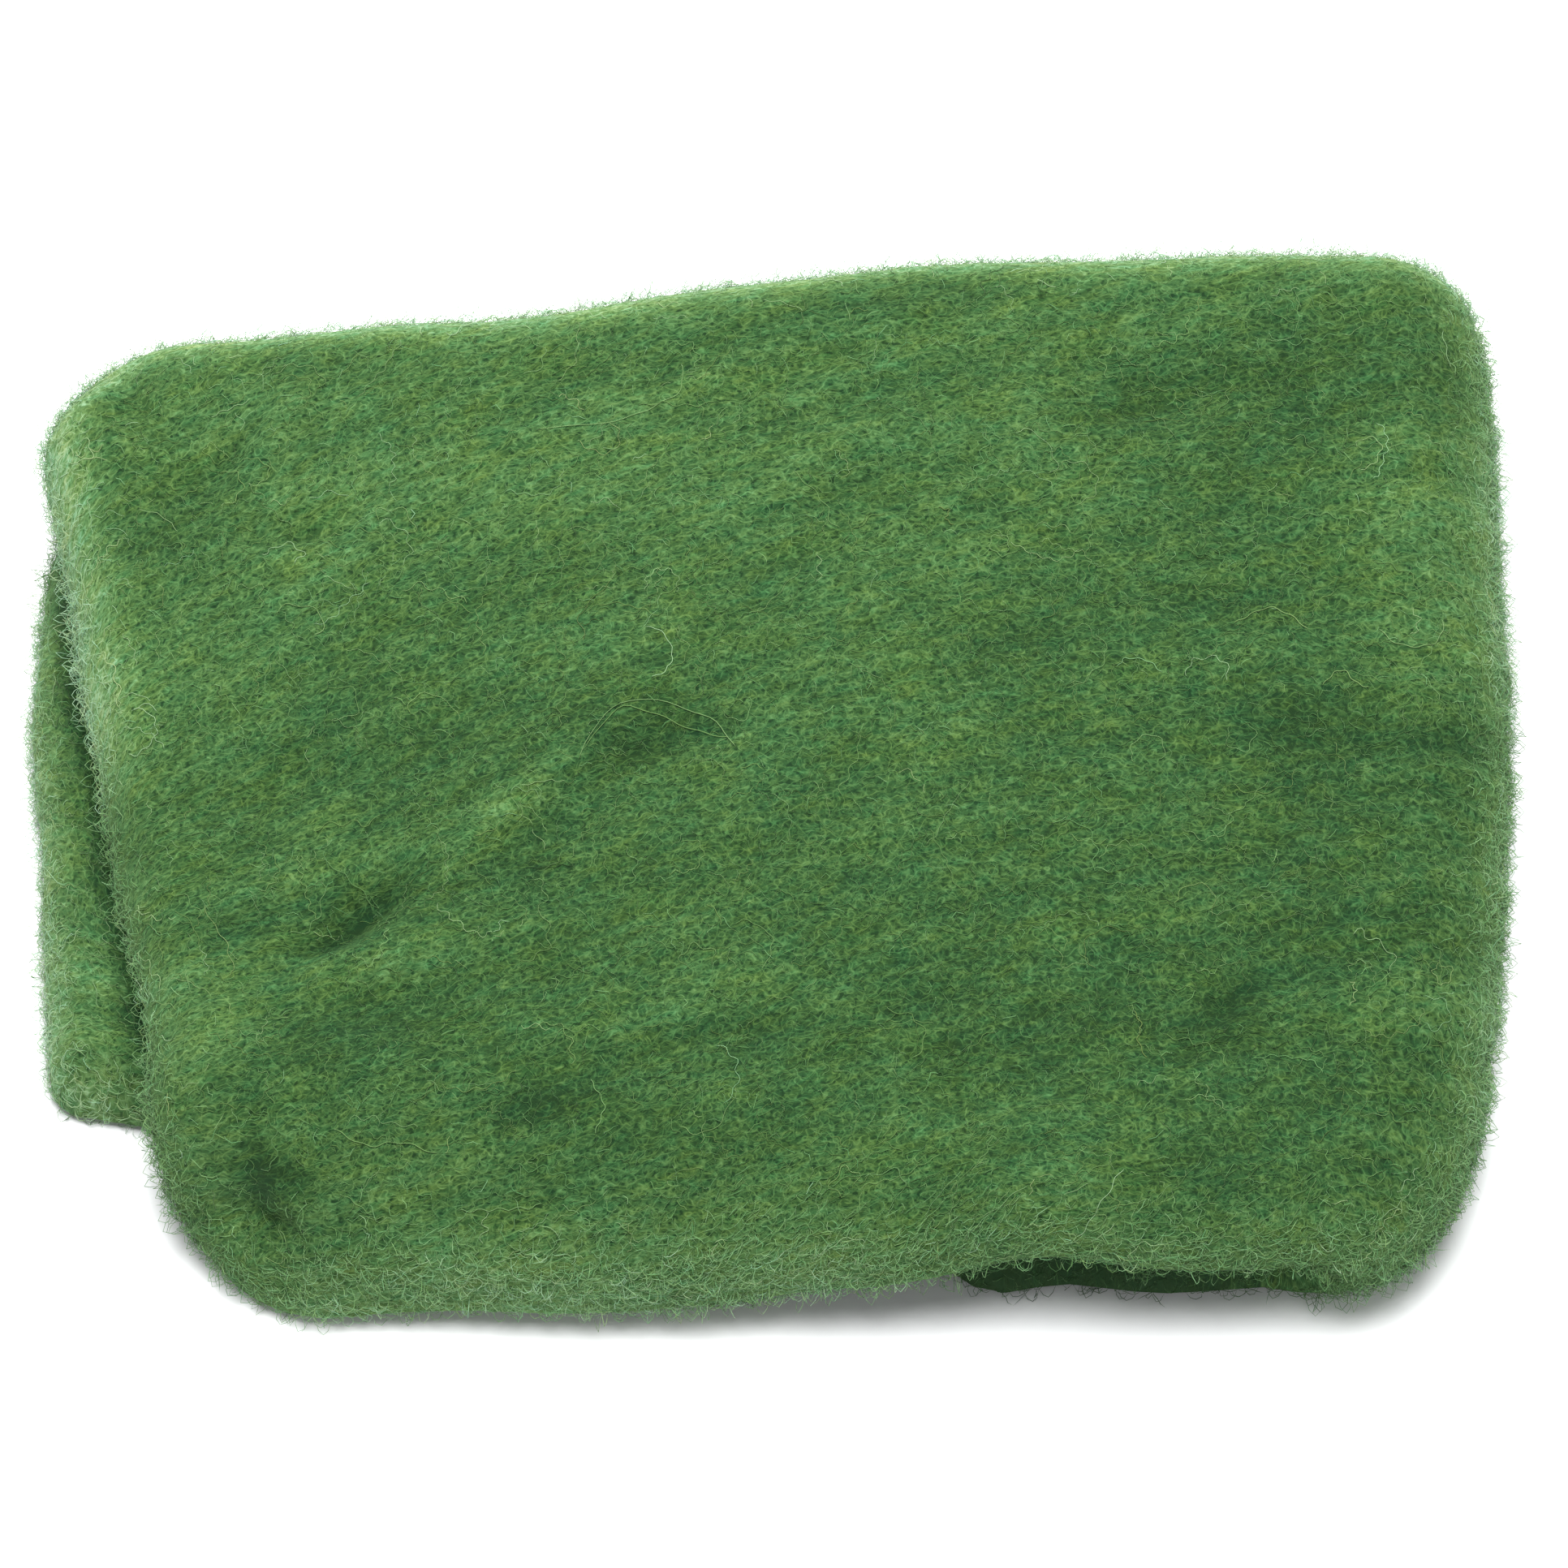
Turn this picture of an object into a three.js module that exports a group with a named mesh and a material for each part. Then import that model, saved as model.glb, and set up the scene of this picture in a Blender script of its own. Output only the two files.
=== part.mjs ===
// A batt of carded wool, folded once and lying on a level surface.
// It is one soft slab: a lower layer, a fold at the right and an upper layer laid back over the lower one a little
// askew, so that the lower layer's free end shows at the left and the upper one droops past it at the front.
// Millimetres. X runs to the right, Y from the front edge to the back, Z up from the surface that carries it.
import * as THREE from "three";

// Driving dimensions
const LAYER_THICKNESS = 21;
const LAYER_GAP = 1;
const RIM_WIDTH = 13; // the layers thin out towards their edges over this width
const RIM_SETTLE = 0.45; // share of that thinning by which a rim sinks
const WOOL_GREEN = 0x4c7a42;

// Each layer seen from above. Along its free end, at is the place from the front edge (0) to the back edge (1) and x is
// how far the end reaches. Along its side edges, at is the place from the free end (0) to the fold (1).
const LOWER = {
  end: [
    { at: 0, x: -134.5 },
    { at: 0.35, x: -138.5 },
    { at: 0.6, x: -142.5 },
    { at: 0.85, x: -141.5 },
    { at: 1, x: -139 },
  ],
  front: [
    { at: 0, y: -67 },
    { at: 0.1, y: -70.5 },
    { at: 0.66, y: -79 },
    { at: 0.78, y: -101 },
    { at: 0.92, y: -105 },
    { at: 1, y: -105 },
  ],
  back: [
    { at: 0, y: 68 },
    { at: 1, y: 101 },
  ],
  frontCorner: 6,
  backCorner: 24,
};
const UPPER = {
  end: [
    { at: 0, x: -111 },
    { at: 0.22, x: -113.5 },
    { at: 0.45, x: -123.5 },
    { at: 0.66, x: -131.5 },
    { at: 0.88, x: -140.5 },
    { at: 1, x: -138.5 },
  ],
  front: [
    { at: 0, y: -108.5 },
    { at: 0.6, y: -108 },
    { at: 1, y: -109 },
  ],
  back: [
    { at: 0, y: 84 },
    { at: 0.3, y: 89 },
    { at: 0.65, y: 103 },
    { at: 1, y: 105 },
  ],
  frontCorner: 32,
  backCorner: 27,
};

// The fold seen from above: X of its middle line, and how far it draws in by the front edge and by the back edge,
// first slowly along its length and then round its corner.
const FOLD = { x: 129.3, slantFront: 10, cornerFront: 15.5, slantBack: -1.5, cornerBack: 5 };

// The upper layer droops where it hangs out past the lower one: by how much at its front edge, from left to right,
// and over which overhangs the droop sets in.
const DROOP = [
  { at: -90, drop: 21 },
  { at: -52, drop: 17 },
  { at: -8, drop: 18 },
  { at: 18, drop: 11 },
  { at: 44, drop: 1 },
  { at: 60, drop: 0 },
];
const DROOP_STARTS = 0;
const DROOP_ENDS = 32;
const SUPPORT = [
  { at: -134, y: -68 },
  { at: 50, y: -86 },
];

// Soft hollows (rise < 0) and ridges (rise > 0) of the upper face: centre, half lengths, turn in degrees, and rise.
const FORMS = [
  { name: "crease", x: -75, y: -45, along: 13, across: 3.6, turn: 38, rise: -4.4 },
  { name: "crease tail", x: -95, y: -55, along: 13, across: 4.5, turn: 12, rise: -1.8 },
  { name: "ridge past the crease", x: -41, y: -10, along: 27, across: 7, turn: 46, rise: 1.9 },
  { name: "hollow above the crease", x: -84, y: -17, along: 24, across: 8, turn: 14, rise: -1.6 },
  { name: "hollow past the ridge", x: -12, y: -8, along: 17, across: 9, turn: 38, rise: -1.9 },
  { name: "hollow below the crease", x: -68, y: -60, along: 15, across: 6, turn: 4, rise: -1.7 },
  { name: "front hollow", x: -38, y: -77, along: 15, across: 5, turn: 6, rise: -2.4 },
  { name: "front left dimple", x: -91, y: -94, along: 10, across: 7.5, turn: -20, rise: -3.6 },
  { name: "ridge beside the dimple", x: -92, y: -79, along: 21, across: 6, turn: -56, rise: 2.2 },
  { name: "back left furrow", x: -105, y: 49, along: 12, across: 4.5, turn: 60, rise: -2.2 },
  { name: "back left ridge", x: -96, y: 58, along: 13, across: 5, turn: 66, rise: 1.9 },
  { name: "back left hollow", x: -89, y: 38, along: 12, across: 6, turn: 8, rise: -2.1 },
  { name: "left shoulder", x: -120, y: 11, along: 27, across: 8, turn: 103, rise: 1.7 },
  { name: "right hollow", x: 86, y: -58, along: 22, across: 13, turn: 12, rise: -1.8 },
  { name: "right middle hollow", x: 93, y: -14, along: 22, across: 9, turn: 5, rise: -1.2 },
  { name: "right back hollow", x: 72, y: 67, along: 16, across: 6, turn: -6, rise: -1.7 },
  { name: "back right hollow", x: 112, y: 61, along: 18, across: 6, turn: -8, rise: -1.3 },
  { name: "back swell", x: 20, y: 54, along: 30, across: 10, turn: 14, rise: 1.3 },
];

// The arch in the front edge: the upper layer lifts off the lower one here.
const ARCH = { x: 52, y: -106, along: 13, across: 18, rise: 4.5 };

// Steps up each rim, then along the lower layer, round the fold, along the upper layer, and across the batt.
const STEPS = { rim: 4, lower: 12, fold: 9, upper: 44, across: 30 };

// Rough length of a layer and width of the batt, which place the steps up the rims.
const LENGTH = 255;
const WIDTH = 200;

const HALF = LAYER_THICKNESS / 2;
const LOWER_LEVEL = HALF;
const UPPER_LEVEL = LAYER_THICKNESS + LAYER_GAP + HALF;
const FOLD_RADIUS = (UPPER_LEVEL - LOWER_LEVEL) / 2;

const { lerp, clamp, smoothstep, degToRad } = THREE.MathUtils;

// Shares from 0 to 1: steps that close in on the rim at 0, even steps, and steps that close in on a rim at 1.
function spacing(evenSteps, size, rimAtOne) {
  const rim = RIM_WIDTH / size;
  const upTheRim = Array.from({ length: STEPS.rim }, (_, i) => {
    return rim * (1 - Math.cos((Math.PI / 2) * (i / STEPS.rim)));
  });
  const last = rimAtOne ? 1 - rim : 1;
  const even = Array.from({ length: evenSteps + 1 }, (_, i) => lerp(rim, last, i / evenSteps));
  const downTheRim = rimAtOne ? upTheRim.map((share) => 1 - share).reverse() : [];
  return [...upTheRim, ...even, ...downTheRim];
}

// The value of a table's column at a place, with smooth steps from row to row.
function tableValue(rows, column, at) {
  const next = rows.findIndex((row) => row.at > at);
  if (next === 0) return rows[0][column];
  if (next < 0) return rows.at(-1)[column];
  const [a, b] = [rows[next - 1], rows[next]];
  const t = (at - a.at) / (b.at - a.at);
  return lerp(a[column], b[column], lerp(t, smoothstep(t, 0, 1), 0.5));
}

// The share of the full thickness at a distance from an edge: a quarter of an ellipse.
function rimShare(distance) {
  const left = 1 - clamp(distance / RIM_WIDTH, 0, 1);
  return Math.sqrt(1 - left * left);
}

// The slow unevenness of a hand-laid edge.
function waver(x) {
  return 0.5 * Math.sin(x / 21 + 0.6) + 0.4 * Math.sin(x / 9.3 + 2.1);
}

// X of the fold's middle line for a place across the batt, from -1 at the front to 1 at the back.
function foldX(v) {
  const [slant, corner] = v < 0 ? [FOLD.slantFront, FOLD.cornerFront] : [FOLD.slantBack, FOLD.cornerBack];
  return FOLD.x - slant * Math.abs(v) ** 1.4 - corner * Math.abs(v) ** 7;
}

// How far the upper layer has sunk at a place.
function droop(x, y) {
  return tableValue(DROOP, "drop", x) * smoothstep(tableValue(SUPPORT, "y", x) - y, DROOP_STARTS, DROOP_ENDS);
}

// One soft form's height at a place: a bell that is longer one way than the other.
function bell(form, x, y) {
  const turn = degToRad(form.turn ?? 0);
  const dx = x - form.x;
  const dy = y - form.y;
  const along = (dx * Math.cos(turn) + dy * Math.sin(turn)) / form.along;
  const across = (dy * Math.cos(turn) - dx * Math.sin(turn)) / form.across;
  return form.rise * Math.exp(-along * along - across * across);
}

// A point of a layer's middle surface, and how far it is from the layer's nearest free edge.
// Share goes from the free end (0) to the fold (1), v from the front edge (-1) to the back edge (1).
function layerPoint(layer, share, v) {
  const t = (v + 1) / 2;
  const end = tableValue(layer.end, "x", t);
  const fromEnd = share * (foldX(v) - FOLD_RADIUS - end);
  const front = tableValue(layer.front, "y", share);
  const back = tableValue(layer.back, "y", share);
  const fromSide = ((back - front) * (1 - Math.abs(v))) / 2;
  const x = end + fromEnd;
  const y = lerp(front + waver(x), back + waver(x + 70), t);
  const fromEdge = Math.min(fromEnd, fromSide);
  // In a corner the square steps are drawn in to circles round the corner's centre.
  const radius = v < 0 ? layer.frontCorner : layer.backCorner;
  const toCentreX = Math.max(radius - fromEnd, 0);
  const toCentreY = Math.max(radius - fromSide, 0);
  if (toCentreX === 0 || toCentreY === 0) return { x, y, fromEdge };
  const drawn = 1 - Math.max(toCentreX, toCentreY) / Math.hypot(toCentreX, toCentreY);
  return { x: x + toCentreX * drawn, y: y - Math.sign(v) * toCentreY * drawn, fromEdge };
}

// The middle surface as rows of points from the lower layer's free end, round the fold, to the upper one's.
function middleRows() {
  const across = spacing(STEPS.across, WIDTH, true).map((t) => 2 * t - 1);
  const rows = [];
  const addRow = (make) => rows.push(across.map(make));
  for (const share of spacing(STEPS.lower, LENGTH, false)) {
    addRow((v) => ({ ...layerPoint(LOWER, share, v), z: LOWER_LEVEL, outer: () => 0 }));
  }
  for (let i = 1; i < STEPS.fold; i++) {
    const turned = i / STEPS.fold;
    addRow((v) => {
      const low = layerPoint(LOWER, 1, v);
      const high = layerPoint(UPPER, 1, v);
      const angle = Math.PI * turned;
      return {
        x: low.x + FOLD_RADIUS * Math.sin(angle),
        y: lerp(low.y, high.y, turned),
        z: LOWER_LEVEL + FOLD_RADIUS * (1 - Math.cos(angle)),
        fromEdge: lerp(low.fromEdge, high.fromEdge, turned),
        outer: () => 0,
      };
    });
  }
  for (const share of spacing(STEPS.upper, LENGTH, false).reverse()) {
    addRow((v) => {
      const p = layerPoint(UPPER, share, v);
      const z = UPPER_LEVEL - droop(p.x, p.y) + bell(ARCH, p.x, p.y);
      const outer = () => FORMS.reduce((sum, form) => sum + bell(form, p.x, p.y), 0);
      return { ...p, z, outer };
    });
  }
  return rows;
}

// Thickens the middle surface into a closed slab whose outer and inner faces meet along its rim.
function slabGeometry(rows) {
  const last = rows.length - 1;
  const width = rows[0].length;
  const positions = [];
  const outerIds = [];
  const innerIds = [];
  const place = (p) => new THREE.Vector3(p.x, p.y, p.z);
  rows.forEach((row, i) => {
    outerIds.push([]);
    innerIds.push([]);
    row.forEach((p, j) => {
      const share = rimShare(p.fromEdge);
      const half = HALF * share;
      const along = place(rows[Math.min(i + 1, last)][j]).sub(place(rows[Math.max(i - 1, 0)][j]));
      const over = place(row[Math.min(j + 1, width - 1)]).sub(place(row[Math.max(j - 1, 0)]));
      const normal = over.cross(along).normalize();
      const middle = place(p);
      middle.z -= RIM_SETTLE * (HALF - half);
      const outer = middle.clone().addScaledVector(normal, half + share * p.outer());
      const inner = middle.clone().addScaledVector(normal, -half);
      const onRim = i === 0 || i === last || j === 0 || j === width - 1;
      outerIds[i].push(positions.length / 3);
      positions.push(outer.x, outer.y, Math.max(outer.z, 0));
      innerIds[i].push(onRim ? outerIds[i][j] : positions.length / 3);
      if (!onRim) positions.push(inner.x, inner.y, inner.z);
    });
  });
  const index = [];
  for (let i = 0; i < last; i++) {
    for (let j = 0; j < width - 1; j++) {
      const quad = (ids) => [ids[i][j], ids[i][j + 1], ids[i + 1][j + 1], ids[i + 1][j]];
      const [a, b, c, d] = quad(outerIds);
      const [e, f, g, h] = quad(innerIds);
      index.push(a, b, c, a, c, d);
      index.push(e, g, f, e, h, g);
    }
  }
  const geometry = new THREE.BufferGeometry();
  geometry.setAttribute("position", new THREE.Float32BufferAttribute(positions, 3));
  geometry.setIndex(index);
  geometry.computeVertexNormals();
  return geometry;
}

const wool = new THREE.MeshStandardMaterial({ color: WOOL_GREEN, roughness: 0.95, metalness: 0 });
const slab = slabGeometry(middleRows());

// The origin lies under the middle of the batt.
slab.computeBoundingBox();
const centre = slab.boundingBox.getCenter(new THREE.Vector3());
slab.translate(-centre.x, -centre.y, 0);

const batt = new THREE.Mesh(slab, wool);
batt.name = "batt";

const foldedBatt = new THREE.Group();
foldedBatt.add(batt);

export default foldedBatt;
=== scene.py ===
# The looks of a folded batt of carded wool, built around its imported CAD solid.
import math

import bpy
import numpy as np
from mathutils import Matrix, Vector


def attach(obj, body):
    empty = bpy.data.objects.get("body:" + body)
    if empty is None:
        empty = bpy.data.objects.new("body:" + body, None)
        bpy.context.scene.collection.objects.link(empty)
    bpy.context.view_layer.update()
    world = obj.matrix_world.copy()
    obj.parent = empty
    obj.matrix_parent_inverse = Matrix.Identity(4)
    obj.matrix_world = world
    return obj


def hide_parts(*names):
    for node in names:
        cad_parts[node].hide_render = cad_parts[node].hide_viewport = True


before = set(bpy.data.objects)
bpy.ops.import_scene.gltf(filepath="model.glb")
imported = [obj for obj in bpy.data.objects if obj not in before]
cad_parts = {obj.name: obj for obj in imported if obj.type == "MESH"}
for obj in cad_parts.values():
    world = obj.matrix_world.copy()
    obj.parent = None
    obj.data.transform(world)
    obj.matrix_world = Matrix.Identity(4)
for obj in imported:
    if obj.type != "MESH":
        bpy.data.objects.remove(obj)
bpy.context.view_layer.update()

MM = 0.001
SEED = 63
RNG = np.random.default_rng(SEED)

# The slab: the same driving dimensions as the CAD solid, in millimetres.
LAYER_THICKNESS = 21.0
LAYER_GAP = 1.0
RIM_WIDTH = 13.0
LENGTH = 255.0
WIDTH = 200.0

# How far a rim settles, as a share of its half thickness: where it hangs free, and on the floor.
RIM_SETTLE = 0.45
FLOOR_SETTLE = 0.75

# The dense wool ends this far short of the outline, and the rest is loose fuzz. Rows are (place, depth), with
# the places along a layer's front edge from its end to the fold, or across the fold from -1 to 1 at the back.
LOWER_FRONT_FUZZ = [(0, 0.6), (0.6, 1.0), (0.7, -3.5), (0.77, -2.0), (0.85, 2.5), (1, 5.0)]
UPPER_FRONT_FUZZ = [(0, 0.8), (0.85, 0.8), (1, 2.0)]
FOLD_FUZZ = [(-1, 1.6), (-0.3, 1.6), (0.1, 0.3), (1, 0.5)]
BACK_FUZZ = 0.3
END_FUZZ = 0.9

# Each layer seen from above. Rows are (place, X) along its free end, and (place, Y) along its side edges.
LOWER = {
    "end": [(0, -134.5), (0.35, -138.5), (0.6, -142.5), (0.85, -141.5), (1, -139)],
    "front": [(0, -67), (0.1, -70.5), (0.66, -79), (0.78, -101), (0.92, -105), (1, -105)],
    "back": [(0, 68), (1, 101)],
    "front_fuzz": LOWER_FRONT_FUZZ,
    "front_corner": 6.0,
    "back_corner": 24.0,
}
UPPER = {
    "end": [(0, -111), (0.22, -113.5), (0.45, -123.5), (0.66, -131.5), (0.88, -140.5), (1, -138.5)],
    "front": [(0, -108.5), (0.6, -108), (1, -109)],
    "back": [(0, 84), (0.3, 89), (0.65, 103), (1, 105)],
    "front_fuzz": UPPER_FRONT_FUZZ,
    "front_corner": 32.0,
    "back_corner": 27.0,
}

# The slow unevenness of the side edges: rows are (height, length of a radian, shift).
WAVER = [(0.5, 21, 0.6), (0.4, 9.3, 2.1)]
BACK_WAVER_SHIFT = 70

# The fold's middle line: its X at mid depth, and how far it slants back and turns in towards each corner.
FOLD_X = 129.3
FOLD_SLANT = {"front": 10.0, "back": -1.5, "power": 1.4}
FOLD_CORNER = {"front": 15.5, "back": 5.0, "power": 7}

# Rows are (X, how far the upper layer droops at its front edge), then (X, Y of the edge that carries it).
DROOP = [(-90, 21), (-52, 17), (-8, 18), (18, 11), (44, 1), (60, 0)]
DROOP_ENDS = 32.0
SUPPORT = [(-134, -68), (50, -86)]

# Soft hollows and ridges of the upper face: centre X and Y, half lengths along and across, turn in degrees
# and rise.
FORMS = [
    (-75, -45, 13, 3.6, 38, -4.4),
    (-95, -55, 13, 4.5, 12, -1.8),
    (-41, -10, 27, 7, 46, 1.9),
    (-84, -17, 24, 8, 14, -1.6),
    (-12, -8, 17, 9, 38, -1.9),
    (-68, -60, 15, 6, 4, -1.7),
    (-38, -77, 15, 5, 6, -2.4),
    (-91, -94, 10, 7.5, -20, -3.6),
    (-92, -79, 21, 6, -56, 2.2),
    (-105, 49, 12, 4.5, 60, -2.2),
    (-96, 58, 13, 5, 66, 1.9),
    (-89, 38, 12, 6, 8, -2.1),
    (-120, 11, 27, 8, 103, 1.7),
    (86, -58, 22, 13, 12, -1.8),
    (93, -14, 22, 9, 5, -1.2),
    (72, 67, 16, 6, -6, -1.7),
    (112, 61, 18, 6, -8, -1.3),
    (20, 54, 30, 10, 14, 1.3),
]
ARCH = (52, -106, 13, 18, 0, 4.5)

# Narrow creases of the upper face, too fine for the solid, and also painted: darker in their troughs as
# painted shade and lighter on their ridges as painted light. Rows as above.
CREASES = [
    (-75, -44.5, 9, 1.7, 38, -2.2),
    (-66, -52, 13, 2.4, 34, 0.9),
    (-45, -20, 20, 3.0, 47, 0.8),
    (-42, -31, 10, 3.0, 40, -1.0),
    (-101, 55, 8, 2.0, 50, -1.3),
    (-93, 60, 10, 2.2, 58, 1.0),
    (-86, 36, 8, 1.8, 4, -1.3),
    (-89.5, -92.5, 8, 2.8, -14, -2.2),
    (-92, -83, 2.4, 8, 6, -1.2),
    (-42, -82, 8, 1.8, 12, -1.4),
    (-72, -66, 12, 2.0, 6, -1.0),
    (72, 63, 9, 2.2, -4, -1.0),
    (83, -63, 14, 2.6, 48, -1.0),
    (-20, -8, 14, 2.6, 10, -1.1),
    (-3, -67, 13, 2.2, 8, -0.9),
    (30, -60, 12, 2.2, 8, -0.8),
]

# Patches of painted light and shade, and of real density: painted shade in creases, hollows and the dimple,
# painted light on ridges and along the fold, and lighter or darker where the wool is thicker or thinner. Rows
# as above, with the change of lightness in place of the rise.
SHADE_AND_DENSITY_PATCHES = [
    (-95, 56, 13, 12, 0, 0.5),
    (-95, 10, 13, 16, 0, -0.6),
    (-97, -71, 9, 9, 0, 0.9),
    (-40, 58, 50, 20, 10, 0.25),
    (-35, -76, 30, 14, 4, -0.4),
    (-35, -10, 50, 14, 10, -0.25),
    (66, -60, 25, 25, 0, -0.25),
    (99, 10, 14, 60, 0, -0.4),
    (-118, 10, 60, 12, 96, 0.15),
    (95, -20, 60, 85, 0, -0.45),
    (95, -75, 55, 30, 0, -0.4),
    (20, -60, 80, 25, 8, -0.2),
    (-76, -70, 20, 7, 6, -0.8),
    (-39, -81, 12, 4.5, 8, -1.2),
    (-98, -79, 6, 4, 20, -0.3),
    (-75, -88, 10, 4, 4, -0.4),
    (-75, -44.5, 9.5, 3.2, 38, -1.7),
    (-43, -32, 9, 5, 40, -0.3),
    (-21, -9, 15, 6, 14, -0.6),
    (-84, -10, 22, 8, 12, -0.3),
    (-86, 35, 12, 4, 4, -0.6),
    (-104, 50, 11, 4, 60, -0.5),
    (-50, 57, 6, 3, 0, -0.5),
    (-79, 21, 6, 3, 10, -0.35),
    (-33, 21, 8, 5, 10, -0.3),
    (72, 62, 18, 5, -4, -0.55),
    (60, 45, 30, 12, 14, 0.2),
    (-106, -68, 8, 20, 24, 0.35),
    (-88.5, -92, 8, 3.8, -16, -1.7),
    (-92, -83, 3.5, 9, 6, -0.5),
    (83, -63, 15, 6, 48, -0.55),
    (80, -95, 8, 5, 0, -0.4),
    (104, -78, 7, 4, 0, -0.3),
    (117, -14, 10, 7, 0, 0.35),
    (59, -19, 7, 3, 0, -0.25),
    (30, -60, 14, 5, 8, -0.35),
    (-3, -67, 15, 5, 8, -0.35),
    (-45, -20, 21, 3.4, 47, 0.15),
    (130, 0, 120, 14, 90, 0.25),
]

# The lie of the fibres on the upper face: X and Y of a place, its reach, and the fibres' turn in degrees.
LIE = [
    (-110, 70, 45, 22),
    (-40, 75, 50, 20),
    (60, 70, 60, 14),
    (-115, 0, 40, 36),
    (-70, 10, 40, 38),
    (-20, 0, 45, 30),
    (50, 0, 60, 14),
    (120, 0, 50, 10),
    (-90, -60, 35, 12),
    (-60, -90, 45, 6),
    (10, -70, 55, 9),
    (90, -80, 60, 10),
]

# Single long hairs that lie on the upper face: how light, its hue from bluish at 0 to tan at 1, and points in
# millimetres from the middle of the batt.
LAID_HAIRS = [
    (0.75, 0.6, [(-33.1, -9.7), (-27.1, 0.6), (-19.6, -1.1), (-12.1, -3.7), (-6, -5.4)]),
    (0.8, 0.5, [(-34, -12), (-31, -3), (-24, 2.4), (-15, 0.8), (-8, -1.6), (-5, -8)]),
    (0.7, 0.5, [(-15.8, 75.5), (-15.1, 68.7), (-21.1, 65.3), (-27.1, 61.9), (-43.7, 60.2)]),
    (0.6, 1.0, [(67, -62), (68.6, -65), (67.4, -68), (69.2, -72)]),
    (0.6, 1.0, [(33, 43), (35.4, 42.6), (34.2, 40.8), (36, 39.4)]),
    (0.8, 0.55, [(115, 16.7), (117.7, 13.5), (121.3, 12.7), (125, 13.6), (127, 16), (127.4, 19.5)]),
    (0.8, 0.7, [(104, 4.5), (106.1, 7.4), (108.3, 8.2), (110.1, 5), (112.8, 4.1)]),
    (0.8, 0.7, [(88, 18), (90.9, 19.8), (94.9, 22), (98.9, 19.8), (101.9, 16.4)]),
    (0.85, 0.1, [(66, 8.4), (67.3, 10.6), (71.8, 9.9), (74.3, 7.2)]),
    (0.75, 0.5, [(-77, -84), (-71, -87), (-65, -86), (-58, -88.5)]),
    (0.75, 0.3, [(-31, -75), (-28, -81), (-30, -86)]),
]

# Steps of the slab's mesh up each rim, along the lower layer, round the fold, along the upper one and across.
STEPS = {"rim": 6, "lower": 36, "fold": 18, "upper": 140, "across": 116}
FOLD_ROW = STEPS["rim"] + STEPS["lower"] + STEPS["fold"] // 2

HALF = LAYER_THICKNESS / 2
LOWER_LEVEL = HALF
UPPER_LEVEL = LAYER_THICKNESS + LAYER_GAP + HALF
FOLD_RADIUS = (UPPER_LEVEL - LOWER_LEVEL) / 2

# The photograph's camera looks down at this angle. VIEW points from the batt to the camera.
VIEW_ELEVATION = math.radians(62)
VIEW = np.array([0, -math.cos(VIEW_ELEVATION), math.sin(VIEW_ELEVATION)])


def smooth(t):
    """0 to 1, with no slope at either end."""
    t = np.clip(t, 0, 1)
    return t * t * (3 - 2 * t)


def rising(value, start, width):
    """0 up to a start and 1 from a width past it, smooth between. Below 0, the width runs the other way."""
    return smooth((value - start) / width)


def mix(a, b, t):
    """From one value to another, by a share."""
    return a + (b - a) * t


def unit(vectors):
    return vectors / np.maximum(np.linalg.norm(vectors, axis=-1, keepdims=True), 1e-12)


def table_value(rows, at):
    """The value of a table at a place, with smooth steps from row to row."""
    places, values = np.array(rows, float).T
    i = np.clip(np.searchsorted(places, at, side="right") - 1, 0, len(places) - 2)
    t = np.clip((at - places[i]) / (places[i + 1] - places[i]), 0, 1)
    return mix(values[i], values[i + 1], (t + smooth(t)) / 2)


def bell(form, x, y):
    """One soft form's height: a bell that is longer one way than the other."""
    centre_x, centre_y, half_along, half_across, turn, rise = form
    cosine, sine = math.cos(math.radians(turn)), math.sin(math.radians(turn))
    dx, dy = x - centre_x, y - centre_y
    along = (dx * cosine + dy * sine) / half_along
    across = (dy * cosine - dx * sine) / half_across
    return rise * np.exp(-(along**2) - across**2)


def spacing(even_steps, size, rim_at_one):
    """Shares from 0 to 1: steps that close in on the rim at 0, even steps, and the same for a rim at 1."""
    rim = RIM_WIDTH / size
    up_the_rim = rim * (1 - np.cos(np.pi / 2 * np.arange(STEPS["rim"]) / STEPS["rim"]))
    even = np.linspace(rim, 1 - rim if rim_at_one else 1, even_steps + 1)
    down_the_rim = 1 - up_the_rim[::-1] if rim_at_one else []
    return np.concatenate([up_the_rim, even, down_the_rim])


def waver(x):
    """The slow unevenness of a hand-laid edge."""
    return sum(height * np.sin(x / length + shift) for height, length, shift in WAVER)


def fold_x(v):
    """X of the fold's middle line across the batt, from -1 at the front to 1 at the back."""
    slant = np.where(v < 0, FOLD_SLANT["front"], FOLD_SLANT["back"]) * np.abs(v) ** FOLD_SLANT["power"]
    corner = np.where(v < 0, FOLD_CORNER["front"], FOLD_CORNER["back"]) * np.abs(v) ** FOLD_CORNER["power"]
    return FOLD_X - table_value(FOLD_FUZZ, v) - slant - corner


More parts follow.
